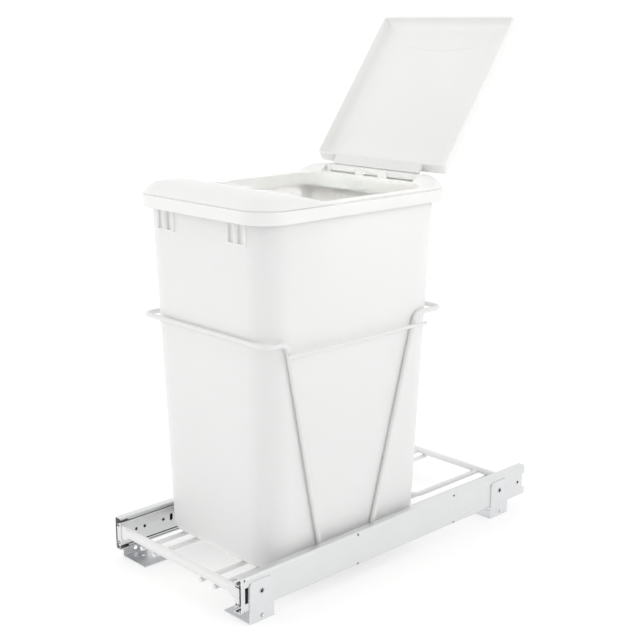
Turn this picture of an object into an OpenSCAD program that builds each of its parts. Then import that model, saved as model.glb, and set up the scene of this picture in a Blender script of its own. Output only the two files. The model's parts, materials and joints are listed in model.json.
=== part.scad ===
// Pull-out waste bin on full-extension ball slides. Millimetres, +Z up.
// X is the width, the front faces -Y, the floor brackets stand on z = 0.

/* [Slides] */
// Outside width over the floor brackets
overall_width = 270; // [266:0.5:274]
// Length of the cabinet members
slide_length = 558.8; // [550:0.1:566]
// Height of a slide
slide_height = 47; // [46.6:0.1:47.4]
// Height of the slide centre line over the floor
slide_centre_z = 40; // [39.8:0.1:40.2]
// Bearing ball diameter
ball_diameter = 3.4; // [3.3:0.05:3.45]
// Balls in each race
balls_per_race = 6; // [4:1:8]

/* [Floor brackets] */
// Depth of a bracket along the slide
bracket_depth = 39; // [36:0.5:42]
// Height of the upright plate
bracket_height = 55.5; // [53:0.5:58]
// Width of the floor flange
flange_width = 51; // [48:0.5:54]
// Floor screw hole diameter
floor_hole = 5.5; // [4.5:0.1:6]
// Distance between front and rear bracket centres
bracket_spacing = 466; // [460:1:470]

/* [Wire carrier] */
// Wire diameter of the hoops and base wires
wire = 6.4; // [6:0.1:6.4]
// Diameter of the front bar
front_bar_diameter = 12.7; // [12:0.1:13]
// Height of the hoops over the floor
hoop_z = 339.5; // [330:0.5:350]

/* [Bin] */
// Half width of the bin at the rim
bin_half_top = 124.1; // [123:0.1:124.2]
// Wall thickness of the bin
bin_wall = 2.2; // [1.8:0.1:2.6]

/* [Lid] */
// Angle between the closed and the open lid
lid_open = 126; // [120:0.5:126]
// Length of the lid from the hinge axis
lid_length = 255; // [250:0.5:256]

/* [Hidden] */
$fn = 32;
side_x = overall_width / 2;          // bracket eyelets' outer face
plate_t = 1.4;
eyelet_t = 0.3;
eyelet_d = 6.4;                      // outer diameter of the eyelets' barrels
slide_x = side_x - eyelet_t - plate_t;   // slide outer face
slide_t = 12.7;
inner_x = slide_x - slide_t;         // drawer member inner face
sheet = 1.2;
y_front = -slide_length / 2;
y_rear = slide_length / 2;
hh = slide_height / 2;
ball_r = ball_diameter / 2;
ball_u = 6.4;                        // depth of the ball centres
race_out = 20.5;                     // outer ball row height from the centre
race_in = 15.7;                      // inner ball row height
cage_half = 100;
cage_out_y = -12;
cage_in_y = -10;
front_c = -248;                      // front bracket centre
rear_c = front_c + bracket_spacing;
side_hole_z = 7;
mid_front = -266;
mid_rear = 236;
drawer_rear = 268;
// wire carrier
wr = wire / 2;
base_z = 33.4;                       // base wire centres
base_top = base_z + wr;
low_z = base_z - wire;               // hoop bottom runs
bar_y = -273;
bar_z = base_top + front_bar_diameter / 2;
rear_bar_d = 9.5;
rear_bar_y = 258;
rear_bar_z = base_top + rear_bar_d / 2;
base_x = [50, 77];
hoop_x = 123.3;
leg_x_low = 113.9;                   // hoop half width at the bottom run
front_hoop_y = -225.9;
rear_hoop_y = 87.2;
front_leg = [-193.7, -125.3];        // leg position in Y, top and bottom
rear_leg = [36, -41.6];
rod_d = 4.8;
rod_z = 324.2;
// bin
bin_z = 36.9;
bin_top = 500.6;
bin_r = 38;
// lid frame
skirt_z = 485.4;
crease_z = 502;
frame_t = 2.4;
mouth_x = 114.5;
mouth_y = [-130, 62];
hinge_y = 79;
hinge_z = 511.5;
pin_r = 1.5;
knuckle_r = 4.5;
lug_x = [22, 83.5];                 // hinge lug centres and widths
lug_w = [17, 8];
gap = 0.5;
valley_x = 89;                       // half width of the hinge valley
valley_z = 506.2;
lid_half = 121;
neck_half = 82;                      // half width of the lid at the hinge
lid_shift = [0, -3.24, -2.35];       // lid panel's offset from the hinge axis, drawn closed

white = [0.95, 0.95, 0.94];
zinc = [0.72, 0.74, 0.76];
steel = [0.6, 0.62, 0.65];
wirec = [0.98, 0.98, 0.98];
black = [0.15, 0.15, 0.16];

// ---------- helpers ----------
function unit(v) = v / norm(v);
// rigid transform whose columns are x, y, z and the origin
function basis(x, y, z, o) = [[x[0], y[0], z[0], o[0]], [x[1], y[1], z[1], o[1]],
                              [x[2], y[2], z[2], o[2]], [0, 0, 0, 1]];
function side_axis(d) = unit(abs(d[2]) < 0.9 ? cross([0, 0, 1], d) : cross([0, 1, 0], d));

module rod(a, b, d) {
  w = unit(b - a);
  u = side_axis(w);
  multmatrix(basis(u, cross(w, u), w, a)) cylinder(h = norm(b - a), d = d);
}

// bent wire: straight runs between the points, an arc of radius r at each bend. The runs
// enter the arcs by a hair and the arcs are a hair thicker, so the pieces fuse cleanly.
module bent_wire(p, r, d, closed = false) {
  n = len(p);
  last = closed ? n - 1 : n - 2;
  bends = closed ? [0:n - 1] : [1:n - 2];
  ang = [for (i = [0:n - 1]) !closed && (i == 0 || i == n - 1) ? 0 :
         acos(unit(p[i] - p[(i + n - 1) % n]) * unit(p[(i + 1) % n] - p[i]))];
  cut = [for (a = ang) a == 0 ? 0 : r * tan(a / 2) - 0.4];
  union() {
    for (i = [0:last]) {
      j = (i + 1) % n;
      u = unit(p[j] - p[i]);
      rod(p[i] + u * cut[i], p[j] - u * cut[j], d);
    }
    for (i = bends) {
      u = unit(p[i] - p[(i + n - 1) % n]);
      w = unit(p[(i + 1) % n] - p[i]);
      turn = unit(w - u * (u * w));
      start = p[i] - u * (cut[i] + 0.4);
      multmatrix(basis(-turn, u, cross(-turn, u), start + turn * r))
        rotate_extrude(angle = ang[i]) translate([r, 0]) circle(d = d + 0.04);
    }
  }
}

// s = 1 is the right side, s = -1 the left one
module on_side(s) { if (s > 0) children(); else mirror([1, 0, 0]) children(); }

// a slide section drawn as [depth from the outer face, height from the centre line]
module slide_section(y0, y1) {
  translate([slide_x, y1, slide_centre_z]) rotate([90, 0, 0])
    linear_extrude(height = y1 - y0) mirror([1, 0]) children();
}
// 2D: both halves of a section that is drawn for the upper side
module both_halves() { children(); mirror([0, 1]) children(); }
// 2D: an arc of bent sheet about (u, v), outer radius r, over the quadrants in q
// (0 is up and inward, 1 is up and outward)
module bend2d(u, v, r, q) {
  difference() {
    translate([u, v]) circle(r = r);
    translate([u, v]) circle(r = r - sheet);
    translate([u - 2 * r, v - 2 * r]) square([4 * r, 2 * r]);
    if (len(q) == 1) translate([q[0] == 0 ? u - 2 * r : u, v]) square([2 * r, 2 * r]);
  }
}

// ---------- cabinet-fixed pieces ----------
module bracket(s, yc) {
  hole_y = [0, 13.5];
  hole_x = [side_x - 20, side_x - 33.5];
  on_side(s) color(zinc) difference() {
    union() {
      translate([slide_x, yc, 0]) rotate([90, 0, 90]) linear_extrude(height = plate_t)
        union() {
          translate([-bracket_depth / 2, 0]) square([bracket_depth, bracket_height - 7]);
          translate([-bracket_depth / 2 + 7, 0]) square([bracket_depth - 14, bracket_height]);
          for (k = [-1, 1]) translate([k * (bracket_depth / 2 - 7), bracket_height - 7])
            circle(r = 7);
        }
      translate([slide_x + plate_t - flange_width, yc - bracket_depth / 2, 0])
        cube([flange_width, bracket_depth, 1.5]);
    }
    translate([slide_x - 1, yc, slide_centre_z]) rotate([0, 90, 0])
      cylinder(h = 4, d = eyelet_d);
    translate([slide_x - 1, yc, side_hole_z]) rotate([0, 90, 0]) cylinder(h = 4, d = floor_hole);
    for (i = [0, 1]) translate([hole_x[i], yc + hole_y[i], -1]) cylinder(h = 4, d = floor_hole);
  }
}
module bracket_front_right() { bracket(1, front_c); }
module bracket_front_left() { bracket(-1, front_c); }
module bracket_rear_right() { bracket(1, rear_c); }
module bracket_rear_left() { bracket(-1, rear_c); }

module bracket_eyelets() {
  color(steel) for (s = [-1, 1], yc = [front_c, rear_c]) on_side(s)
    translate([slide_x - sheet - 0.4, yc, slide_centre_z]) rotate([0, 90, 0]) difference() {
      union() {
        cylinder(h = 0.4, d = eyelet_d + 2.2);
        cylinder(h = 0.4 + sheet + plate_t + eyelet_t, d = eyelet_d);
        translate([0, 0, 0.4 + sheet + plate_t]) cylinder(h = eyelet_t, d = eyelet_d + 1.8);
      }
      translate([0, 0, -1]) cylinder(h = 6, d = eyelet_d - 1.2);
    }
}

module cabinet_member(s) {
  on_side(s) color(zinc) difference() {
    slide_section(y_front, y_rear) union() {
      translate([0, -hh + 4]) square([sheet, slide_height - 8]);
      both_halves() {
        bend2d(4, hh - 4, 4, [1]);
        translate([4, hh - sheet]) square([6.6, sheet]);
        bend2d(slide_t - 2.1, hh - 2.1, 2.1, [0]);
        translate([slide_t - sheet, hh - 2.9]) square([sheet, 0.8]);
      }
    }
    // slot and notch at the ends of the web
    translate([slide_x - 3, -271 - 2.8, slide_centre_z - 10.5]) cube([6, 5.6, 21]);
    translate([slide_x - 3, y_rear - 5.4, slide_centre_z - 10.5]) cube([6, 10, 21]);
    for (y = [front_c, rear_c, 263])
      translate([slide_x - 3, y, slide_centre_z]) rotate([0, 90, 0])
        cylinder(h = 6, d = y == 263 ? 4.5 : eyelet_d);
    for (y = [-274, -79, 115], k = [-1, 1])
      translate([slide_x - 3, y, slide_centre_z + k * 20.3]) rotate([0, 90, 0])
        cylinder(h = 6, d = 3);
  }
}
module cabinet_member_right() { cabinet_member(1); }
module cabinet_member_left() { cabinet_member(-1); }

module slide_bumpers() {
  color(black) for (s = [-1, 1]) on_side(s)
    translate([slide_x - 10.5, drawer_rear + 0.6, slide_centre_z - 9.5]) cube([9.3, 4.6, 19]);
}

// ---------- telescoping pieces ----------
module middle_member(s) {
  on_side(s) color(zinc) difference() {
    slide_section(mid_front, mid_rear) union() {
      translate([2.2, -15.7]) square([sheet, 31.4]);
      both_halves() {
        bend2d(5.2, 15.7, 3, [1]);
        translate([5.2, 17.5]) square([4, sheet]);
        polygon([[9, 17.5], [11.9, 17.9], [11.9, 20], [10.7, 20], [10.7, 18.9], [9, 18.7]]);
      }
    }
    for (y = [front_c, -90, 60, rear_c]) translate([slide_x - 6, y, slide_centre_z])
      rotate([0, 90, 0]) cylinder(h = 6, d = 8);
  }
}
module middle_member_right() { middle_member(1); }
module middle_member_left() { middle_member(-1); }

module drawer_member(s) {
  on_side(s) color(zinc) difference() {
    union() {
      slide_section(y_front, drawer_rear) union() {
        translate([slide_t - sheet, -14.9]) square([sheet, 29.8]);
        both_halves() {
          bend2d(slide_t - 1.7, 14.9, 1.7, [0, 1]);
          translate([9.3, 12.7]) square([sheet, 2.2]);
          translate([4.9, 12.7]) square([5.6, sheet]);
        }
      }
      // front end of the web, bent outward
      translate([inner_x + 0.4, y_front, slide_centre_z - 10.5]) cube([8.2, 1.2, 21]);
    }
    for (y = [-254, -240, -208.5, -100, 0, 100, 200])
      translate([inner_x - 2, y, slide_centre_z + 1]) rotate([0, 90, 0]) cylinder(h = 6, d = 4.5);
    for (y = [-195, 180]) for (k = [-1, 1])
      translate([inner_x - 2, y, slide_centre_z + 1 + 2.5 * k]) rotate([0, 90, 0])
        cylinder(h = 6, d = 5);
    for (y = [-195, 180]) translate([inner_x - 2, y - 2.5, slide_centre_z - 1.5]) cube([6, 5, 5]);
  }
}
module drawer_member_right() { drawer_member(1); }
module drawer_member_left() { drawer_member(-1); }

// C-shaped strip that carries the balls; u0..u1 is its web
module ball_cage(u0, u1, row, yc) {
  for (s = [-1, 1]) on_side(s) difference() {
    slide_section(yc - cage_half, yc + cage_half) union() {
      translate([u0, -row + 1.8]) square([u1 - u0, 2 * row - 3.6]);
      both_halves() polygon([[u0, row - 1.9], [u0 + 1.4, row + 0.4], [8.4, row + 0.4],
                             [8.4, row - 0.4], [u0 + 1.9, row - 0.4], [u1, row - 2.1]]);
    }
    for (i = [0:balls_per_race - 1])
      translate([slide_x - ball_u, ball_y(i, yc), slide_centre_z - row - 2])
        cylinder(h = 2 * row + 4, r = ball_r + 0.03);
    translate([slide_x - u1 - 1, yc - cage_half + 14, slide_centre_z - 8])
      cube([3, 2 * cage_half - 28, 16]);
  }
}
function ball_y(i, yc) = yc + (i - (balls_per_race - 1) / 2) * (2 * cage_half - 24)
                              / (balls_per_race - 1);
module balls(row, yc) {
  for (s = [-1, 1], k = [-1, 1], i = [0:balls_per_race - 1])
    on_side(s) translate([slide_x - ball_u, ball_y(i, yc), slide_centre_z + k * row])
      sphere(r = ball_r, $fn = 20);
}
module outer_cages() { color(black) ball_cage(1.5, 1.9, race_out, cage_out_y); }
module outer_balls() { color(steel) balls(race_out, cage_out_y); }
module inner_cages() { color(black) ball_cage(3.95, 4.35, race_in, cage_in_y); }
module inner_balls() { color(steel) balls(race_in, cage_in_y); }

// ---------- wire carrier ----------
// the front bar is a tube with flattened ends
module front_bar() {
  x1 = inner_x - 15;
  color(wirec) union() {
    rod([-x1, bar_y, bar_z], [x1, bar_y, bar_z], front_bar_diameter);
    for (s = [-1, 1]) on_side(s) {
      hull() {
        rod([x1 - 0.2, bar_y, bar_z], [x1, bar_y, bar_z], front_bar_diameter);
        translate([inner_x - 8, bar_y - 5.5, bar_z - 9.5]) cube([0.2, 3.4, 19]);
      }
      translate([inner_x - 8, bar_y - 5.5, bar_z - 9.5]) cube([8, 3.4, 19]);
    }
  }
}
module rear_bar() {
  color(wirec) rod([-inner_x, rear_bar_y, rear_bar_z], [inner_x, rear_bar_y, rear_bar_z],
                   rear_bar_d);
}
module base_wires() {
  color(wirec) for (x = base_x, s = [-1, 1])
    rod([s * x, bar_y - 4, base_z], [s * x, rear_bar_y + 3, base_z], wire);
}
module stop_wire() {
  z = base_top + wr;
  y1 = rear_bar_y - rear_bar_d / 2;
  color(wirec) bent_wire([[-62, y1, z], [-62, 112, z], [62, 112, z], [62, y1, z]], 12, wire);
}
// one closed bent wire: the top run, two raked legs and the run under the base wires
module hoop(run_y, leg) {
  bent_wire([[hoop_x, run_y, hoop_z], [hoop_x, leg[0], hoop_z], [leg_x_low, leg[1], low_z],
             [-leg_x_low, leg[1], low_z], [-hoop_x, leg[0], hoop_z], [-hoop_x, run_y, hoop_z]],
            12, wire, true);
}
module front_hoop() { color(wirec) hoop(front_hoop_y, front_leg); }
module rear_hoop() { color(wirec) hoop(rear_hoop_y, rear_leg); }

function leg_at(leg, z) = let (t = (hoop_z - z) / (hoop_z - low_z))
  [hoop_x + t * (leg_x_low - hoop_x), leg[0] + t * (leg[1] - leg[0])];
module side_rods() {
  a = leg_at(front_leg, rod_z);
  b = leg_at(rear_leg, rod_z);
  x = a[0] + wr + rod_d / 2;
  color(wirec) for (s = [-1, 1]) rod([s * x, a[1] - 6, rod_z], [s * x, b[1] + 20, rod_z], rod_d);
}

// ---------- bin ----------
// bin outline at height z, moved in by m
function bin_half(z) = bin_half_top - 0.031 * (500 - z);
function bin_y0(z) = -225.4 + 0.023 * (500 - z);
function bin_y1(z) = 82.3 + 0.037 * (z - 340);
module bin_slab(z, m, h, r) {
  x = bin_half(z) - m;
  hull() for (s = [-1, 1], y = [bin_y0(z) + m + r, bin_y1(z) - m - r])
    translate([s * (x - r), y, z]) cylinder(h = h, r = r, $fn = 48);
}
module bin_body(m, z0, z1) {
  hull() {
    bin_slab(z0, m + 12, 0.1, bin_r - 12);
    bin_slab(z0 + 3.5, m + 3.5, 0.1, bin_r - 4);
    bin_slab(z0 + 12, m, 0.1, bin_r);
    bin_slab(z1 - 0.1, m, 0.1, bin_r);
  }
}
module bin() {
  color(white) difference() {
    union() {
      bin_body(0, bin_z, bin_top);
      // rolled rim
      bin_slab(bin_top - 6.5, -2, 6.5, bin_r + 2);
      // pairs of pockets under the rim
      for (x = [61, 79], s = [-1, 1], e = [0, 1])
        translate([s * x - 8, e == 0 ? -227.4 : 80, 457.5]) cube([16, 14, 27]);
    }
    bin_body(bin_wall, bin_z + bin_wall, bin_top + 4);
    for (x = [61, 79], s = [-1, 1])
      translate([s * x - 6.8, -233, 459]) cube([13.6, 8, 24.2]);
  }
}

// ---------- lid frame ----------
// height of the top surface along Y, seen from the side
frame_side = [[-240, skirt_z], [-240, 501], [-234.5, 503.5], [-231, 508], [-225, 512.6],
  [-216, 516.8], [-206, 519.3], [-196, 520], [-186, 519], [-174, 516.6], [-160, 513],
  [-146, 509], [-134, 505.6], [-128, 503.8], [60, 503.8], [64, 508], [68, 511.3], [73, 514.3],
  [79, 516.2], [84, 516.2], [89, 514.6], [94, 511.2], [99, 506.4], [101.5, 503], [106, 501],
  [106, skirt_z]];
// height limit across X, seen from the front (right half)
frame_front = [[0, 520.4], [40, 519.9], [80, 518.4], [104, 516], [116, 512.6], [123, 508.4],
  [127, 504.5], [128.2, 502.6], [131, 501], [131, skirt_z]];
module frame_outline(m, r) {
  x = 131.1 - m;
  y0 = -237.4 + m;
  y1 = 102.5 - m;
  union() {
    translate([-x + r, y0]) square([2 * (x - r), y1 - y0]);
    translate([-x, y0 + r]) square([2 * x, y1 - y0 - 2 * r]);
    for (s = [-1, 1], y = [y0 + r, y1 - r]) translate([s * (x - r), y]) circle(r = r, $fn = 64);
  }
}
module frame_block(m, drop) {
  translate([0, 0, -drop]) intersection() {
    translate([-150, 0, 0]) rotate([90, 0, 90]) linear_extrude(height = 300)
      polygon(frame_side);
    translate([0, 150, 0]) rotate([90, 0, 0]) linear_extrude(height = 400)
      polygon(concat(frame_front, [for (i = [len(frame_front) - 1:-1:1])
                                   [-frame_front[i][0], frame_front[i][1]]]));
    translate([0, 0, skirt_z - 20]) linear_extrude(height = 80) frame_outline(m, 42 - m);
  }
}
module lid_frame() {
  color(white) difference() {
    union() {
      difference() {
        union() {
          translate([0, 0, skirt_z]) linear_extrude(height = crease_z - skirt_z)
            frame_outline(0, 42);
          frame_block(1.6, 0);
        }
        frame_block(1.6 + frame_t, frame_t);
        // inside of the skirt
        translate([0, 0, skirt_z - 1]) linear_extrude(height = 15.6) frame_outline(frame_t, 39.6);
        // mouth
        translate([0, 0, skirt_z - 1]) linear_extrude(height = 60)
          union() {
            r = 22;
            translate([-mouth_x + r, mouth_y[0]])
              square([2 * (mouth_x - r), mouth_y[1] - mouth_y[0]]);
            translate([-mouth_x, mouth_y[0] + r])
              square([2 * mouth_x, mouth_y[1] - mouth_y[0] - 2 * r]);
            for (s = [-1, 1], y = [mouth_y[0] + r, mouth_y[1] - r])
              translate([s * (mouth_x - r), y]) circle(r = r);
          }
        // the hinge valley
        translate([-valley_x, mouth_y[1], valley_z]) cube([2 * valley_x, 60, 30]);
      }
      // floor of the hinge valley and its end walls
      translate([-valley_x - 2, 62.5, valley_z - 2.6]) cube([2 * valley_x + 4, 36.5, 2.6]);
      intersection() {
        frame_block(1.6, 0);
        for (s = [-1, 1]) translate([s * (valley_x + 1.2) - 1.2, mouth_y[1], valley_z - 2.6])
          cube([2.4, 60, 20]);
      }
      // hinge lugs
      for (i = [0, 1], s = [-1, 1]) translate([s * lug_x[i] - lug_w[i] / 2, 0, 0])
        union() {
          translate([0, hinge_y, hinge_z]) rotate([0, 90, 0])
            cylinder(h = lug_w[i], r = knuckle_r);
          translate([0, hinge_y - knuckle_r, valley_z - 0.6])
            cube([lug_w[i], 2 * knuckle_r, hinge_z - valley_z + 0.6]);
        }
    }
    // bore for the pin
    translate([-87.5, hinge_y, hinge_z]) rotate([0, 90, 0]) cylinder(h = 175, r = pin_r);
  }
}
module hinge_pin() {
  color(steel) translate([-87, hinge_y, hinge_z]) rotate([0, 90, 0])
    cylinder(h = 174, r = pin_r);
}

// ---------- lid ----------
// drawn closed with the hinge axis on the X axis, then swung open
module lid_slab(z, h, x, y0, y1, r) {
  hull() for (s = [-1, 1], y = [-y0 - r, -y1 + r])
    translate([s * (x - r), y, z]) cylinder(h = h, r = r);
}
// m is the inset, start the hinge end at the rim, lean how far that end leans out above it
module lid_dome(m, half, start, lean) {
  y0 = start + m;
  y1 = lid_length - m;
  x = half - m;
  r = 6 - m;
  hull() {
    lid_slab(m > 0 ? -2 : 0, 1, x, y0, y1, r);
    lid_slab(10 - m, 0.5, x - 0.6, y0 - lean, y1 - 0.6, r);
    lid_slab(14.6 - m, 0.4, x - 4, y0 + 4 - lean, y1 - 4, r);
    lid_slab(17 - m, 0.4, x - 14, y0 + 12 - lean, y1 - 14, r);
    lid_slab(19.4 - m, 0.4, x - 52, y0 + 48, y1 - 52, r);
  }
}
// the full width panel and the narrower neck at the hinge
module lid_body(m) {
  translate(lid_shift) union() {
    lid_dome(m, lid_half, 17, 6);
    lid_dome(m, neck_half, 9, 1);
  }
}
inner_edge = lug_x[0] - lug_w[0] / 2 - gap;
outer_edges = [lug_x[0] + lug_w[0] / 2 + gap, lug_x[1] - lug_w[1] / 2 - gap];
knuckles = [[-outer_edges[1], -outer_edges[0]], [-inner_edge, inner_edge], outer_edges];
module lid() {
  color(white) translate([0, hinge_y, hinge_z]) rotate([-lid_open, 0, 0]) difference() {
    union() {
      difference() {
        lid_body(0);
        lid_body(2.4);
      }
      for (k = knuckles) translate([k[0], 0, 0]) union() {
        rotate([0, 90, 0]) cylinder(h = k[1] - k[0], r = knuckle_r);
        translate([0, -6, -2.2]) cube([k[1] - k[0], 6, 5]);
      }
      // land along the hinge side
      translate([-neck_half, -13.5, -2.2]) cube([2 * neck_half, 8.1, 5]);
    }
    translate([-100, 0, 0]) rotate([0, 90, 0]) cylinder(h = 200, r = pin_r + 0.05);
  }
}

bracket_front_right();
bracket_front_left();
bracket_rear_right();
bracket_rear_left();
bracket_eyelets();
cabinet_member_right();
cabinet_member_left();
slide_bumpers();
middle_member_right();
middle_member_left();
outer_cages();
outer_balls();
inner_cages();
inner_balls();
drawer_member_right();
drawer_member_left();
front_bar();
rear_bar();
base_wires();
stop_wire();
front_hoop();
rear_hoop();
side_rods();
bin();
lid_frame();
hinge_pin();
lid();
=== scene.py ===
"""Looks for the pull-out waste bin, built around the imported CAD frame. Metres, +Z up, -Y front."""

import json
import math

import bmesh
import bpy
from mathutils import Matrix, Vector


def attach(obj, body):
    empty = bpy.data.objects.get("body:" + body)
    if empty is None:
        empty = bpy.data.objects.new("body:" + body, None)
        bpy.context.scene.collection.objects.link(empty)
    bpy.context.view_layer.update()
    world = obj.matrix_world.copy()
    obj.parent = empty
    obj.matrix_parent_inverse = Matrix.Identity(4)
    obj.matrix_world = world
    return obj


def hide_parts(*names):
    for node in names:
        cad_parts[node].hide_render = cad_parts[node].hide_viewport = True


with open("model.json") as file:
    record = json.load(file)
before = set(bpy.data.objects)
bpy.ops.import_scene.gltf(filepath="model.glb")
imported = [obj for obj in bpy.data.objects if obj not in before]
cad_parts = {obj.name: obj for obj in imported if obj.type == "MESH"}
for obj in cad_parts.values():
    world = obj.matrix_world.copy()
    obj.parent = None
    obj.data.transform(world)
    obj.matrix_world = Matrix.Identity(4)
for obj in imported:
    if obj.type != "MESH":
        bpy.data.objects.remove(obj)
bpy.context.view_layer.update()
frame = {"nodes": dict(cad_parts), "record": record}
MM = 0.001

# Sizes shared with the CAD source, in millimetres; LID_OPEN is in degrees.
HINGE_Y, HINGE_Z, LID_OPEN = 79.0, 511.5, 126.0
LID_SHIFT_Y, LID_SHIFT_Z = -3.24, -2.35
BIN_Z, BIN_R, BIN_WALL = 36.9, 38.0, 2.2
SKIRT_Z = 485.4
# Height of the crease above the skirt, a little lower here than in the CAD.
CREASE_Z = 501.5


# ---------- small helpers ----------
def curve(table):
    """A smooth monotone function through the points of table, flat beyond its ends."""
    xs, ys = [p[0] for p in table], [p[1] for p in table]
    n = len(xs)
    slope = [(ys[i + 1] - ys[i]) / (xs[i + 1] - xs[i]) for i in range(n - 1)]
    m = [slope[0]] + [0.0] * (n - 2) + [slope[-1]]
    for i in range(1, n - 1):
        a, b = slope[i - 1], slope[i]
        m[i] = 0.0 if a * b <= 0 else 2 * a * b / (a + b)

    def f(x):
        if x <= xs[0]:
            return ys[0]
        if x >= xs[-1]:
            return ys[-1]
        i = max(k for k in range(n - 1) if xs[k] <= x)
        h = xs[i + 1] - xs[i]
        t = (x - xs[i]) / h
        return (
            ys[i] * (2 * t**3 - 3 * t**2 + 1)
            + m[i] * h * (t**3 - 2 * t**2 + t)
            + ys[i + 1] * (3 * t**2 - 2 * t**3)
            + m[i + 1] * h * (t**3 - t**2)
        )

    return f


def soft_min(values, k):
    """A smooth minimum; k is the blend width."""
    low = min(values)
    return low - k * math.log(sum(math.exp(-(v - low) / k) for v in values))


def lerp(a, b, t):
    return a + (b - a) * t


def steps(a, b, n):
    return [lerp(a, b, i / n) for i in range(n + 1)]


def rounded(hx, y0, y1, r, cx=9, nx=10, ny=12, xs=None):
    """Points of a rounded rectangle, counter-clockwise from the middle of the -Y side. Every
    call with the same counts gives matching points. xs fixes the X of the straight runs."""
    xs = steps(0, hx - r, nx) if xs is None else xs
    pts = []
    for x in xs:
        pts.append((x, y0))
    for i in range(1, cx + 1):
        a = math.pi / 2 * i / cx
        pts.append((hx - r + r * math.sin(a), y0 + r - r * math.cos(a)))
    for y in steps(y0 + r, y1 - r, ny)[1:]:
        pts.append((hx, y))
    for i in range(1, cx + 1):
        a = math.pi / 2 * i / cx
        pts.append((hx - r + r * math.cos(a), y1 - r + r * math.sin(a)))
    for x in reversed(xs[:-1]):
        pts.append((x, y1))
    left = [(-x, y) for x, y in reversed(pts[1:-1])]
    return pts + left


def loft(rings, wrap=False, cap_start=False, cap_end=False):
    """Faces between rings of matching points. wrap joins the last ring to the first."""
    n = len(rings[0])
    verts = [v for ring in rings for v in ring]
    faces = []
    for k in range(len(rings) if wrap else len(rings) - 1):
        a, b = k * n, ((k + 1) % len(rings)) * n
        for i in range(n):
            j = (i + 1) % n
            faces.append((a + i, a + j, b + j, b + i))
    if cap_start:
        faces.append(tuple(reversed(range(n))))
    if cap_end:
        faces.append(tuple(range((len(rings) - 1) * n, len(rings) * n)))
    return verts, faces


def make(name, parts, material, sharp=32):
    """A mesh object from (verts, faces) parts in millimetres."""
    mesh = bpy.data.meshes.new(name)
    bm = bmesh.new()
    for verts, faces in parts:
        vs = [bm.verts.new(Vector(v) * MM) for v in verts]
        for f in faces:
            bm.faces.new([vs[i] for i in f])
    bmesh.ops.recalc_face_normals(bm, faces=bm.faces)
    bm.to_mesh(mesh)
    bm.free()
    mesh.materials.append(material)
    obj = bpy.data.objects.new(name, mesh)
    bpy.context.scene.collection.objects.link(obj)
    smooth(obj, sharp)
    return obj


def smooth(obj, sharp):
    for p in obj.data.polygons:
        p.use_smooth = True
    obj.data.set_sharp_from_angle(angle=math.radians(sharp))


def combine(base, tools, operation, sharp=32):
    """Boolean of base with each tool, applied to base's mesh; the tools are removed."""
    for tool in tools:
        mod = base.modifiers.new("cut", "BOOLEAN")
        mod.object, mod.operation, mod.solver = tool, operation, "EXACT"
    bpy.context.view_layer.update()
    done = bpy.data.meshes.new_from_object(
        base.evaluated_get(bpy.context.evaluated_depsgraph_get())
    )
    base.modifiers.clear()
    base.data = done
    for tool in tools:
        bpy.data.objects.remove(tool)
    bm = bmesh.new()
    bm.from_mesh(done)
    bmesh.ops.remove_doubles(bm, verts=bm.verts, dist=1e-6)
    bmesh.ops.recalc_face_normals(bm, faces=bm.faces)
    bm.to_mesh(done)
    bm.free()
    smooth(base, sharp)


def rounded_box(x0, x1, y0, y1, z0, z1, r, n=3):
    """Verts and faces of a box with all its edges rounded."""
    bm = bmesh.new()
    bmesh.ops.create_cube(bm, size=1)
    for v in bm.verts:
        v.co = Vector(
            (
                x1 if v.co.x > 0 else x0,
                y1 if v.co.y > 0 else y0,
                z1 if v.co.z > 0 else z0,
            )
        )
    bmesh.ops.bevel(
        bm, geom=bm.edges[:], offset=r, segments=n, profile=0.5, affect="EDGES"
    )
    bm.verts.index_update()
    out = (
        [tuple(v.co) for v in bm.verts],
        [tuple(v.index for v in f.verts) for f in bm.faces],
    )
    bm.free()
    return out


# ---------- materials ----------
def shader(name, color, rough, metallic=0.0, coat=0.0):
    """A Principled material, with its node tree and shader returned for detail."""
    mat = bpy.data.materials.new(name)
    mat.use_nodes = True
    nodes, links = mat.node_tree.nodes, mat.node_tree.links
    nodes.clear()
    out = nodes.new("ShaderNodeOutputMaterial")
    bsdf = nodes.new("ShaderNodeBsdfPrincipled")
    links.new(bsdf.outputs["BSDF"], out.inputs["Surface"])
    bsdf.inputs["Base Color"].default_value = (*color, 1)
    bsdf.inputs["Roughness"].default_value = rough
    bsdf.inputs["Metallic"].default_value = metallic
    bsdf.inputs["Coat Weight"].default_value = coat
    return mat, nodes, links, bsdf


def noise(nodes, links, scale, detail=3, stretch=(1, 1, 1)):
    """A noise texture over object coordinates, stretched along the axes."""
    coord = nodes.new("ShaderNodeTexCoord")
    mapping = nodes.new("ShaderNodeMapping")
    mapping.inputs["Scale"].default_value = stretch
    links.new(coord.outputs["Object"], mapping.inputs["Vector"])
    tex = nodes.new("ShaderNodeTexNoise")
    tex.inputs["Scale"].default_value = scale
    tex.inputs["Detail"].default_value = detail
    links.new(mapping.outputs["Vector"], tex.inputs["Vector"])
    return tex.outputs["Fac"]


def vary(nodes, links, fac, socket, low, high, at=(0.3, 0.7)):
    """Drives a socket from low to high as fac goes through the range at."""
    ramp = nodes.new("ShaderNodeMapRange")
    ramp.inputs["From Min"].default_value, ramp.inputs["From Max"].default_value = at
    ramp.inputs["To Min"].default_value = low
    ramp.inputs["To Max"].default_value = high
    links.new(fac, ramp.inputs["Value"])
    links.new(ramp.outputs["Result"], socket)


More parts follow.
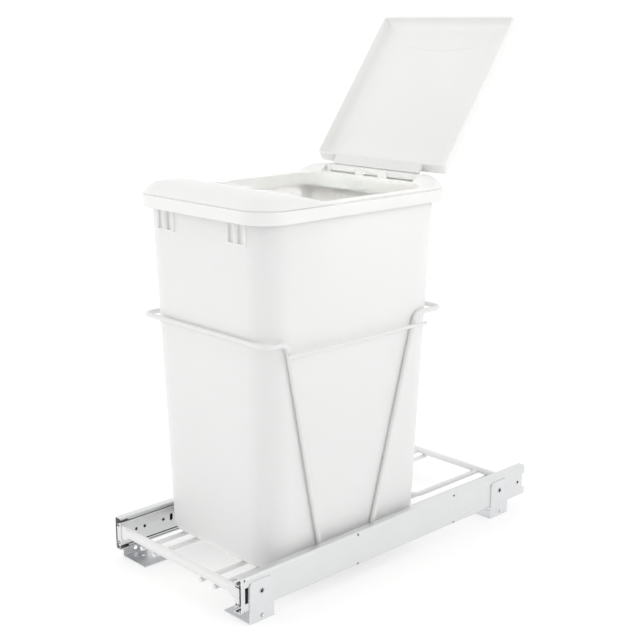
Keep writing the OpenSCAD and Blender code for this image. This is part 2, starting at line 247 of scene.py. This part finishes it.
def tint(nodes, links, fac, bsdf, low, high, at=(0.3, 0.7)):
    """Blends the base colour between two shades as fac goes through the range at."""
    ramp = nodes.new("ShaderNodeValToRGB")
    ramp.color_ramp.elements[0].position, ramp.color_ramp.elements[1].position = at
    ramp.color_ramp.elements[0].color = (*low, 1)
    ramp.color_ramp.elements[1].color = (*high, 1)
    links.new(fac, ramp.inputs["Fac"])
    links.new(ramp.outputs["Color"], bsdf.inputs["Base Color"])


def bump(nodes, links, bsdf, layers):
    """Chained bump: layers of (fac, strength, distance)."""
    last = None
    for fac, strength, distance in layers:
        node = nodes.new("ShaderNodeBump")
        node.inputs["Strength"].default_value = strength
        node.inputs["Distance"].default_value = distance
        links.new(fac, node.inputs["Height"])
        if last is not None:
            links.new(last, node.inputs["Normal"])
        last = node.outputs["Normal"]
    links.new(last, bsdf.inputs["Normal"])


def moulded_plastic(name, low, high, rough, depth):
    """Satin moulded plastic: faint tone drift, soft wall waviness and a fine surface grain."""
    mat, nodes, links, bsdf = shader(name, high, rough, coat=0.12)
    bsdf.inputs["Coat Roughness"].default_value = 0.22
    drift = noise(nodes, links, 7, 3)
    grain = noise(nodes, links, 1400, 2)
    waves = noise(nodes, links, 9, 1, (1, 1, 0.6))
    tint(nodes, links, drift, bsdf, low, high)
    vary(nodes, links, drift, bsdf.inputs["Roughness"], rough - 0.05, rough + 0.06)
    bump(nodes, links, bsdf, [(waves, 0.2, 0.0004), (grain, 0.18, 0.00004)])
    # light passes a little way through the thin walls
    bsdf.inputs["Subsurface Weight"].default_value = depth
    bsdf.inputs["Subsurface Radius"].default_value = (1.0, 0.98, 0.9)
    bsdf.inputs["Subsurface Scale"].default_value = 0.012
    return mat


def powder_coat(name, low, high):
    """White powder coat on wire: orange-peel skin and slightly thin spots."""
    mat, nodes, links, bsdf = shader(name, high, 0.33, coat=0.25)
    bsdf.inputs["Coat Roughness"].default_value = 0.15
    peel = noise(nodes, links, 620, 2)
    patch = noise(nodes, links, 45, 4)
    tint(nodes, links, patch, bsdf, low, high)
    vary(nodes, links, patch, bsdf.inputs["Roughness"], 0.28, 0.42)
    bump(nodes, links, bsdf, [(peel, 0.35, 0.00008)])
    return mat


def zinc_plate(name, low, high, rough, grain_along):
    """Bright zinc plate: rolling streaks along one axis, fine crystal mottling, dull spots."""
    mat, nodes, links, bsdf = shader(name, high, rough, metallic=1.0)
    streak = noise(nodes, links, 160, 4, grain_along)
    cloud = noise(nodes, links, 26, 5)
    crystal = nodes.new("ShaderNodeTexVoronoi")
    crystal.inputs["Scale"].default_value = 900
    coord = nodes.new("ShaderNodeTexCoord")
    links.new(coord.outputs["Object"], crystal.inputs["Vector"])
    tint(nodes, links, cloud, bsdf, low, high, (0.2, 0.8))
    vary(nodes, links, streak, bsdf.inputs["Roughness"], rough - 0.05, rough + 0.08)
    layers = [(streak, 0.07, 0.00004), (crystal.outputs["Distance"], 0.05, 0.00003)]
    bump(nodes, links, bsdf, layers)
    return mat


def turned_steel(name):
    """Bright steel with fine turning marks."""
    mat, nodes, links, bsdf = shader(name, (0.62, 0.63, 0.65), 0.22, metallic=1.0)
    fine = noise(nodes, links, 700, 3, (6, 1, 1))
    tint(nodes, links, fine, bsdf, (0.55, 0.56, 0.58), (0.68, 0.69, 0.71))
    vary(nodes, links, fine, bsdf.inputs["Roughness"], 0.16, 0.32)
    return mat


def dark_moulding(name, low, high, rough, grain_scale):
    """Dark plastic or rubber with a moulded grain."""
    mat, nodes, links, bsdf = shader(name, high, rough)
    spots = noise(nodes, links, 60, 3)
    grain = noise(nodes, links, grain_scale, 2)
    tint(nodes, links, spots, bsdf, low, high)
    vary(nodes, links, spots, bsdf.inputs["Roughness"], rough - 0.08, rough + 0.08)
    bump(nodes, links, bsdf, [(grain, 0.4, 0.00008)])
    return mat


FINISH = {
    "bin_plastic": moulded_plastic(
        "bin_plastic", (0.866, 0.866, 0.854), (0.888, 0.888, 0.878), 0.42, 0.5
    ),
    "lid_plastic": moulded_plastic(
        "lid_plastic", (0.832, 0.832, 0.824), (0.854, 0.854, 0.847), 0.34, 0.12
    ),
    "wire_white": powder_coat("wire_white", (0.75, 0.755, 0.755), (0.78, 0.783, 0.78)),
    "slide_zinc": zinc_plate(
        "slide_zinc", (0.735, 0.74, 0.745), (0.765, 0.77, 0.775), 0.32, (1, 0.03, 1)
    ),
    "bracket_zinc": zinc_plate(
        "bracket_zinc", (0.725, 0.738, 0.755), (0.765, 0.777, 0.79), 0.36, (0.2, 1, 1)
    ),
    "steel": turned_steel("steel"),
    "cage_plastic": dark_moulding(
        "cage_plastic", (0.035, 0.035, 0.038), (0.06, 0.06, 0.065), 0.45, 900
    ),
    "bumper_rubber": dark_moulding(
        "bumper_rubber", (0.025, 0.025, 0.027), (0.045, 0.045, 0.048), 0.7, 1500
    ),
}
slot_of = {s["node"]: s["material_slot"] for s in frame["record"]["subparts"]}
for node_name, node_object in frame["nodes"].items():
    node_object.data.materials.clear()
    node_object.data.materials.append(FINISH[slot_of[node_name]])


def stand_for(obj, body, slot, *nodes):
    """Puts obj on its body, in place of the CAD nodes, which it hides. The slot argument is not
    used.
    """
    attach(obj, body)
    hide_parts(*nodes)


# ---------- bin ----------
FOOT_R, ARC_STEPS, WALL_STEPS = 12, 8, 26
WALL_TOP_Z = 490.6
# rolled rim: its middle, half its height, how far it stands out, where its wall is taken
RIM_MID_Z, RIM_R, RIM_PROUD, RIM_WALL_Z = 497.3, 3.3, 2, 497
POCKET_XS, POCKET_HALF, POCKET_EDGE = (61, 79), 8, 1.2
POCKET_Z0, POCKET_Z1 = 457.5, 484.2


def bin_half(z):
    return 124.1 - 0.031 * (500 - z)


def bin_y0(z):
    return -225.4 + 0.023 * (500 - z)


def bin_y1(z):
    return 82.3 + 0.037 * (z - 340)


def bin_ring(z, m, r, zr=None):
    """Ring at height z, inset m from the outer wall taken at height zr."""
    h = z if zr is None else zr
    return [
        (x, y, z)
        for x, y in rounded(bin_half(h) - m, bin_y0(h) + m, bin_y1(h) - m, r, cx=12)
    ]


def bin_mesh():
    rings = []
    # underside, with a shallow recess inside the foot ring
    for m, dz, r in [(60, 2.0, 12), (26, 2.0, 22), (22, 1.6, 24), (20.5, 0.4, 25), (19, 0, 26)]:
        rings.append(bin_ring(BIN_Z + dz, m, r))
    for i in range(ARC_STEPS + 1):
        a = math.pi / 2 * i / ARC_STEPS
        rings.append(
            bin_ring(
                BIN_Z + FOOT_R - FOOT_R * math.cos(a),
                FOOT_R - FOOT_R * math.sin(a),
                BIN_R - FOOT_R + FOOT_R * math.sin(a),
            )
        )
    for z in steps(BIN_Z + FOOT_R, WALL_TOP_Z, WALL_STEPS)[1:]:
        rings.append(bin_ring(z, 0, BIN_R))
    # rolled rim
    rings.append(bin_ring(493.2, 0, BIN_R))
    rings.append(bin_ring(493.9, 0.1, BIN_R))
    for i in range(ARC_STEPS + 1):
        a = math.pi * i / ARC_STEPS
        rings.append(
            bin_ring(
                RIM_MID_Z - RIM_R * math.cos(a),
                0.1 - 2.1 * math.sin(a),
                BIN_R + RIM_PROUD * math.sin(a),
                RIM_WALL_Z,
            )
        )
    rings.append(bin_ring(500.5, BIN_WALL - 0.8, BIN_R - 1.4, RIM_WALL_Z))
    rings.append(bin_ring(499.9, BIN_WALL - 0.1, BIN_R - 2.1, RIM_WALL_Z))
    # inside of the wall, down to the floor
    for z in steps(499.0, BIN_Z + BIN_WALL + FOOT_R, WALL_STEPS):
        rings.append(bin_ring(z, BIN_WALL, BIN_R - BIN_WALL))
    for i in range(1, ARC_STEPS + 1):
        a = math.pi / 2 * i / ARC_STEPS
        rings.append(
            bin_ring(
                BIN_Z + BIN_WALL + FOOT_R - FOOT_R * math.sin(a),
                BIN_WALL + FOOT_R - FOOT_R * math.cos(a),
                BIN_R - BIN_WALL - FOOT_R + FOOT_R * math.cos(a),
            )
        )
    rings.append(bin_ring(BIN_Z + BIN_WALL + 0.4, 60, 12))
    return loft(rings, cap_start=True, cap_end=True)


bin_piece = make("bin_shell", [bin_mesh()], FINISH["bin_plastic"])
pocket_blocks, pocket_holes = [], []
for x in POCKET_XS:
    for s in (-1, 1):
        x0, x1 = s * x - POCKET_HALF, s * x + POCKET_HALF
        pocket_blocks.append(rounded_box(x0, x1, -227.4, -220.4, POCKET_Z0, POCKET_Z1, 0.8))
        pocket_blocks.append(rounded_box(x0, x1, 84.5, 93.8, POCKET_Z0, POCKET_Z1, 1.0))
        pocket_holes.append(
            rounded_box(x0 + POCKET_EDGE, x1 - POCKET_EDGE, -236.0, -223.3, 459, 483.1, 1.0)
        )
combine(bin_piece, [make("pocket_blocks", pocket_blocks, FINISH["bin_plastic"])], "UNION")
combine(bin_piece, [make("pocket_holes", pocket_holes, FINISH["bin_plastic"])], "DIFFERENCE")
stand_for(bin_piece, "waste_bin", "bin_plastic", "bin")


# ---------- lid frame ----------
# heights over the footprint plane along Y on the centre line, behind the front crest
along = curve(
    [
        (-196, 520.2), (-186, 519.2), (-174, 516.8), (-160, 513.2), (-146, 509.2), (-134, 505.8),
        (-127, 504.0), (-118, 503.7), (52, 503.7), (58, 504.3), (61, 505.6), (64, 508.0),
        (68, 511.3), (73, 514.3), (79, 516.2), (84, 516.6),
    ]
)
across = curve(
    [(0, 521.2), (40, 520.6), (80, 519.0), (104, 516.4), (116, 513.4), (123, 511), (131, 508)]
)
edge_front = curve(
    [
        (0, 0), (0.6, 1.6), (1.6, 3.2), (4.8, 6.6), (10.8, 11.2), (19.8, 15.4), (29.8, 18.2),
        (40, 19.4),
    ]
)
edge_rear = curve(
    [(0, 0), (0.5, 1.9), (1.6, 4.2), (3.8, 7.3), (7, 10.3), (12, 13.6), (17, 15.4), (24, 17)]
)
FRAME_HX, FRAME_Y0, FRAME_Y1, FRAME_R = 131.1, -237.4, 102.5, 42.0
MOUTH_HX, MOUTH_Y0, MOUTH_Y1, MOUTH_R = 114.5, -130.0, 62.0, 22.0
VALLEY_X, VALLEY_Z = 88.4, 506.2
RIDGE_Y, RIDGE_Z = 88.0, 512.3
INSET = 1.6
SHELL_T, LIP_T = 2.4, 1.8
FRAME_XS = steps(0, 86.4, 24) + [87.6, 88.3, 88.8, 89.1]


def frame_outline(hx, y0, y1, r):
    """A rounded rectangle with the point counts that all rings of the frame share."""
    return rounded(hx, y0, y1, r, 14, 0, 24, FRAME_XS)


def outline_depth(x, y):
    """Distance inside the frame's outline."""
    cx = max(abs(x) - (FRAME_HX - FRAME_R), 0)
    cy = max(y - (FRAME_Y1 - FRAME_R), (FRAME_Y0 + FRAME_R) - y, 0)
    if cx == 0 or cy == 0:
        return min(FRAME_HX - abs(x), FRAME_Y1 - y, y - FRAME_Y0)
    return FRAME_R - math.hypot(cx, cy)


def frame_height(x, y, ridge=RIDGE_Y):
    """Height of the frame's upper face; ridge is where the hinge valley ends."""
    d = max(outline_depth(x, y) - INSET, 0)
    w = min(max((y + 20) / 60, 0), 1)
    edge = CREASE_Z + lerp(edge_front(d), edge_rear(d), w)
    h = soft_min([along(y), across(abs(x)), edge], 0.35)
    if abs(x) <= VALLEY_X and y > 50:
        h = min(h, VALLEY_Z if y < ridge else RIDGE_Z)
    return h


def mouth_ring(m):
    """The mouth's outline, grown by m."""
    return frame_outline(MOUTH_HX + m, MOUTH_Y0 - m, MOUTH_Y1 + m, MOUTH_R + m)


def frame_ring(t):
    """Points between the inset outline, t 0, and the mouth edge, t 1."""
    a = frame_outline(FRAME_HX - INSET, FRAME_Y0 + INSET, FRAME_Y1 - INSET, FRAME_R - INSET)
    b = frame_outline(MOUTH_HX, MOUTH_Y0, MOUTH_Y1, MOUTH_R)
    return [(lerp(p[0], q[0], t), lerp(p[1], q[1], t)) for p, q in zip(a, b)]


def skirt_ring(z, m):
    """The frame's outline at height z, inset by m."""
    outline = frame_outline(FRAME_HX - m, FRAME_Y0 + m, FRAME_Y1 - m, FRAME_R - m)
    return [(x, y, z) for x, y in outline]


def frame_mesh():
    rings = []
    # outside of the skirt, from its lower edge up to the crease
    for z, m in [
        (SKIRT_Z, 1.2), (485.6, 0.7), (486.0, 0.3), (486.7, 0.05), (490, 0.0), (495, 0.0),
        (499.6, 0.0), (500.4, 0.12), (500.9, 0.45), (501.1, 1.0), (501.15, 2.5), (501.5, 2.85),
        (502.2, 2.85), (502.55, 2.5), (502.6, 2.0),
    ]:
        rings.append(skirt_ring(z, m))
    # top face, from the crease to the mouth
    for t in [
        0.012, 0.03, 0.055, 0.085, 0.12, 0.16, 0.2, 0.25, 0.29, 0.325, 0.338, 0.37, 0.41, 0.45,
        0.5, 0.55, 0.6, 0.65, 0.7, 0.75, 0.8, 0.85, 0.9, 0.94, 0.97, 0.985,
    ]:
        rings.append([(x, y, frame_height(x, y)) for x, y in frame_ring(t)])
    # lip turned down round the mouth
    for z, t in [(0.25, 0.995), (0.9, 1.0)]:
        rings.append([(x, y, min(frame_height(x, y), 504.2) - z) for x, y in frame_ring(t)])
    for z, m in [
        (500, 0), (492, 0), (486.2, 0), (485.7, 0.3), (485.7, 1.5), (486.2, LIP_T),
        (492, LIP_T), (499, LIP_T),
    ]:
        rings.append([(x, y, z) for x, y in mouth_ring(m)])
    # underside
    for t in [0.94, 0.85, 0.7, 0.55, 0.4, 0.3, 0.275, 0.15]:
        inner_ridge = RIDGE_Y + LIP_T
        rings.append(
            [(x, y, frame_height(x, y, inner_ridge) - SHELL_T) for x, y in frame_ring(t)]
        )
    for z, m in [(499.6, 3.2), (498.6, 2.5), (490, SHELL_T), (486.4, SHELL_T), (485.6, 2.1)]:
        rings.append(skirt_ring(z, m))
    return loft(rings, wrap=True)


def barrel(x0, x1, r):
    """A closed cylinder along X with softened ends."""
    n = 40
    ends = [(0, r - 0.5), (0.15, r - 0.15), (0.5, r)]
    sections = [(x0 + d, q) for d, q in ends] + [(x1 - d, q) for d, q in reversed(ends)]
    rings = [
        [
            (x, q * math.cos(2 * math.pi * i / n), q * math.sin(2 * math.pi * i / n))
            for i in range(n)
        ]
        for x, q in sections
    ]
    return loft(rings, cap_start=True, cap_end=True)


def moved(part, dy, dz):
    verts, faces = part
    return [(x, y + dy, z + dz) for x, y, z in verts], faces


# centre and width of the hinge lugs
LUGS = ((22.0, 17.0), (83.5, 8.0))
KNUCKLE_R = 4.5
frame_piece = make("lid_frame_shell", [frame_mesh()], FINISH["lid_plastic"], sharp=40)
lug_posts, lug_heads = [], []
for centre, width in LUGS:
    for s in (-1, 1):
        x0, x1 = s * centre - width / 2, s * centre + width / 2
        lug_posts.append(
            rounded_box(
                x0 + 0.02, x1 - 0.02, HINGE_Y - KNUCKLE_R, HINGE_Y + KNUCKLE_R,
                VALLEY_Z - 1.2, HINGE_Z, 0.5, 2,
            )
        )
        lug_heads.append(moved(barrel(x0, x1, KNUCKLE_R), HINGE_Y, HINGE_Z))
combine(frame_piece, [make("lug_posts", lug_posts, FINISH["lid_plastic"])], "UNION", 40)
combine(frame_piece, [make("lug_heads", lug_heads, FINISH["lid_plastic"])], "UNION", 40)
stand_for(frame_piece, "frame", "lid_plastic", "lid_frame")


# ---------- lid ----------
LID_HALF, LID_END, LID_R = 121.0, 255.0, 6.0
NECK_HALF = 82.0
# grip bead: half width, distance from the hinge axis at its middle, bow and points round it
GRIP_HALF, GRIP_REACH, GRIP_BOW, GRIP_STEPS, GRIP_SIDES = 84, 209, 14, 40, 8
# distance of the panel's hinge end from the hinge axis, by height
lid_start = curve([(0, 17), (1.5, 16.6), (4, 15), (8, 12.4), (11, 10.8), (15, 10), (20, 10)])


def lid_ring(z, m, near=0.0):
    """A ring of the lid inset by m, drawn closed: the hinge axis on X, the lid toward -Y."""
    r = max(LID_R - m, 1.6) + min(m, 8) * 0.4
    start = lid_start(z) + m + near
    return [(x, y, z) for x, y in rounded(LID_HALF - m, -LID_END + m, -start, r, 8, 14, 14)]


def lid_mesh():
    """The lid panel: an outer dome, a hollow inner face and a rim that joins them."""
    outside = [
        lid_ring(z, m)
        for z, m in [
            (0.5, 2.4), (0.12, 2.1), (0, 1.6), (0, 0.7), (0.15, 0.2), (0.6, 0), (4, 0.15),
            (8, 0.45), (10.2, 0.8), (12, 1.5), (13.4, 2.5), (14.5, 3.9), (15.4, 5.8),
            (16.2, 8.4), (16.9, 12), (17.5, 17), (18.1, 24), (18.6, 32), (19.0, 42),
            (19.3, 54), (19.5, 68), (19.7, 84), (19.75, 100),
        ]
    ]
    inside = [
        lid_ring(z, m, 0.8)
        for z, m in [
            (17.3, 100), (17.25, 84), (17.1, 68), (16.9, 54), (16.6, 42), (16.1, 32),
            (15.3, 24), (14.4, 18.6), (13.3, 14.6), (12.0, 11.6), (10.6, 9.2), (9.0, 7.2),
            (7.4, 5.7), (6.0, 4.7), (4.8, 4.0), (3.8, 3.5), (2.8, 3.1), (1.6, 2.6),
        ]
    ]
    verts, faces = loft(outside, cap_end=True)
    n, base = len(outside[0]), len(verts)
    more, more_faces = loft(inside, cap_start=True)
    verts = verts + more
    faces += [tuple(i + base for i in f) for f in more_faces]
    last = base + (len(inside) - 1) * n
    for i in range(n):
        j = (i + 1) % n
        faces.append((last + i, last + j, j, i))
    return verts, faces


def grip_line():
    """A low bead that bows across the inside of the lid near its free edge."""
    rings = []
    for k in range(GRIP_STEPS + 1):
        t = k / GRIP_STEPS
        x = lerp(-GRIP_HALF, GRIP_HALF, t)
        p = GRIP_REACH + GRIP_BOW * (x / GRIP_HALF) ** 2
        fade = min(1.0, 6 * t, 6 * (1 - t))
        r = 0.3 + 0.9 * fade
        depth = min(LID_END - p, LID_HALF - abs(x))
        z = 17.3 - 2.2 * math.exp(-depth / 22)
        slope = 2 * GRIP_BOW * x / GRIP_HALF**2
        side = Vector((slope, 1, 0)).normalized()
        ring = []
        for i in range(GRIP_SIDES):
            a = 2 * math.pi * i / GRIP_SIDES
            ring.append(
                (
                    x + side.x * r * 1.6 * math.cos(a),
                    -p + side.y * r * 1.6 * math.cos(a),
                    z + r * math.sin(a),
                )
            )
        rings.append(ring)
    return loft(rings, cap_start=True, cap_end=True)


inner_edge = LUGS[0][0] - LUGS[0][1] / 2 - 0.5
outer_edges = (LUGS[0][0] + LUGS[0][1] / 2 + 0.5, LUGS[1][0] - LUGS[1][1] / 2 - 0.5)
KNUCKLES = ((-outer_edges[1], -outer_edges[0]), (-inner_edge, inner_edge), outer_edges)
lid_piece = make("lid_shell", [lid_mesh()], FINISH["lid_plastic"], sharp=40)
neck = rounded_box(-NECK_HALF, NECK_HALF, -19.6, -3.2, 0.1, 4.9, 0.9, 4)
webs = [
    rounded_box(
        x0, x1, -9.0 - LID_SHIFT_Y, -LID_SHIFT_Y - 0.5, 0.9 - LID_SHIFT_Z,
        2.2 - LID_SHIFT_Z, 0.4, 2,
    )
    for x0, x1 in KNUCKLES
]
rolls = [moved(barrel(x0, x1, KNUCKLE_R), -LID_SHIFT_Y, -LID_SHIFT_Z) for x0, x1 in KNUCKLES]
for label, parts in (("neck", [neck]), ("webs", webs), ("rolls", rolls), ("grip", [grip_line()])):
    combine(lid_piece, [make(label, parts, FINISH["lid_plastic"])], "UNION", 40)
lid_piece.data.transform(
    Matrix.Translation((0, HINGE_Y * MM, HINGE_Z * MM))
    @ Matrix.Rotation(math.radians(-LID_OPEN), 4, "X")
    @ Matrix.Translation((0, LID_SHIFT_Y * MM, LID_SHIFT_Z * MM))
)
lid_piece.data.update()
stand_for(lid_piece, "hinged_lid", "lid_plastic", "lid")


# ---------- front bar ----------
def bar_mesh():
    """The round front bar, flattened where its ends meet the slides."""
    bar_y, bar_z, r, end = -273.0, 42.95, 6.35, 120.6
    rings = []
    n = 48
    spots = [0, 0.5, 2, 5, 7.6, 8.4, 9.4, 10.4, 11.4, 12.4, 13.4, 14.4, 15.4, 16.5, 30]
    xs = [-end + d for d in spots] + steps(-80, 80, 8) + [end - d for d in reversed(spots)]
    for x in xs:
        t = min(max((end - abs(x) - 7.6) / 8, 0), 1)
        t = t * t * (3 - 2 * t)
        hy, hz = lerp(1.7, r, t), lerp(9.5, r, t)
        cy = lerp(bar_y - 3.8, bar_y, t)
        power = lerp(4, 2, t)
        ring = []
        for i in range(n):
            a = 2 * math.pi * i / n
            c, q = math.cos(a), math.sin(a)
            k = (abs(c) ** power + abs(q) ** power) ** (-1 / power)
            ring.append((x, cy + hy * k * c, bar_z + hz * k * q))
        rings.append(ring)
    return loft(rings, cap_start=True, cap_end=True)


bar_piece = make("front_bar_tube", [bar_mesh()], FINISH["wire_white"], sharp=50)
stand_for(bar_piece, "tray", "wire_white", "front_bar")


# ---------- camera, light and floor ----------
FLOOR_R, FLOOR_GLOW, EXPOSURE = 200, 0.44, 0.08
LENS, SENSOR = 67.36, 36
CAMERA_AT, CAMERA_DOWN, CAMERA_TURN = (1.1546, -1.1212, 0.71741), 14.084, 46.398


def area(name, size, power, location, target, spread=180):
    lamp = bpy.data.lights.new(name, "AREA")
    lamp.shape, lamp.energy, lamp.spread = "RECTANGLE", power, math.radians(spread)
    lamp.size, lamp.size_y = size
    lamp.color = (1.0, 1.0, 0.95)
    obj = bpy.data.objects.new(name, lamp)
    bpy.context.scene.collection.objects.link(obj)
    obj.location = location
    aim = Vector(target) - Vector(location)
    obj.rotation_euler = aim.to_track_quat("-Z", "Y").to_euler()


def stage():
    bm = bmesh.new()
    bmesh.ops.create_circle(bm, cap_ends=True, radius=FLOOR_R, segments=96)
    mesh = bpy.data.meshes.new("floor")
    bm.to_mesh(mesh)
    bm.free()
    floor = bpy.data.objects.new("floor", mesh)
    bpy.context.scene.collection.objects.link(floor)
    mat, nodes, links, bsdf = shader("floor", (0.55, 0.55, 0.55), 0.9)
    tint(nodes, links, noise(nodes, links, 3, 2), bsdf, (0.55, 0.55, 0.55), (0.56, 0.56, 0.56))
    bsdf.inputs["Emission Color"].default_value = (1, 1, 1, 1)
    bsdf.inputs["Emission Strength"].default_value = FLOOR_GLOW
    mesh.materials.append(mat)
    world = bpy.data.worlds.new("studio")
    world.use_nodes = True
    nodes, links = world.node_tree.nodes, world.node_tree.links
    back = nodes["Background"]
    back.inputs["Color"].default_value = (1, 1, 1, 1)
    # a pale room, dimmer low down on one side, in fixed world directions
    coord = nodes.new("ShaderNodeTexCoord")
    dot = nodes.new("ShaderNodeVectorMath")
    dot.operation = "DOT_PRODUCT"
    dot.inputs[1].default_value = (0.72, -0.69, -0.6)
    links.new(coord.outputs["Generated"], dot.inputs[0])
    vary(nodes, links, dot.outputs["Value"], back.inputs["Strength"], 0.98, 0.48, (-0.3, 0.8))
    bpy.context.scene.world = world
    area("left", (1.6, 1.6), 13, (-1.5, -2.2, 1.1), (0, 0, 0.3))
    area("right", (1.6, 1.6), 15, (2.55, 0.25, 1.4), (0, 0, 0.3))
    # Two narrow beams that pass through the mouth at rest and light the far walls inside. Some of
    # that light glows through the walls and washes out the back and left side of the bin. They
    # don't follow the pieces, so in other poses they wash out the lid or the front of the bin.
    area("beam_side", (0.18, 0.085), 0.06, (1.2, -0.034, 1.138), (0, -0.034, 0.5), 3)
    area("beam_front", (0.21, 0.08), 0.06, (0, -1.234, 1.138), (0, -0.034, 0.5), 3)


def camera():
    data = bpy.data.cameras.new("camera")
    data.lens, data.sensor_width = LENS, SENSOR
    obj = bpy.data.objects.new("camera", data)
    bpy.context.scene.collection.objects.link(obj)
    obj.location = CAMERA_AT
    obj.rotation_euler = (math.radians(90 - CAMERA_DOWN), 0, math.radians(CAMERA_TURN))
    data.clip_start, data.clip_end = 0.01, 100
    bpy.context.scene.camera = obj


stage()
camera()
bpy.context.scene.view_settings.view_transform = "Standard"
bpy.context.scene.view_settings.exposure = EXPOSURE
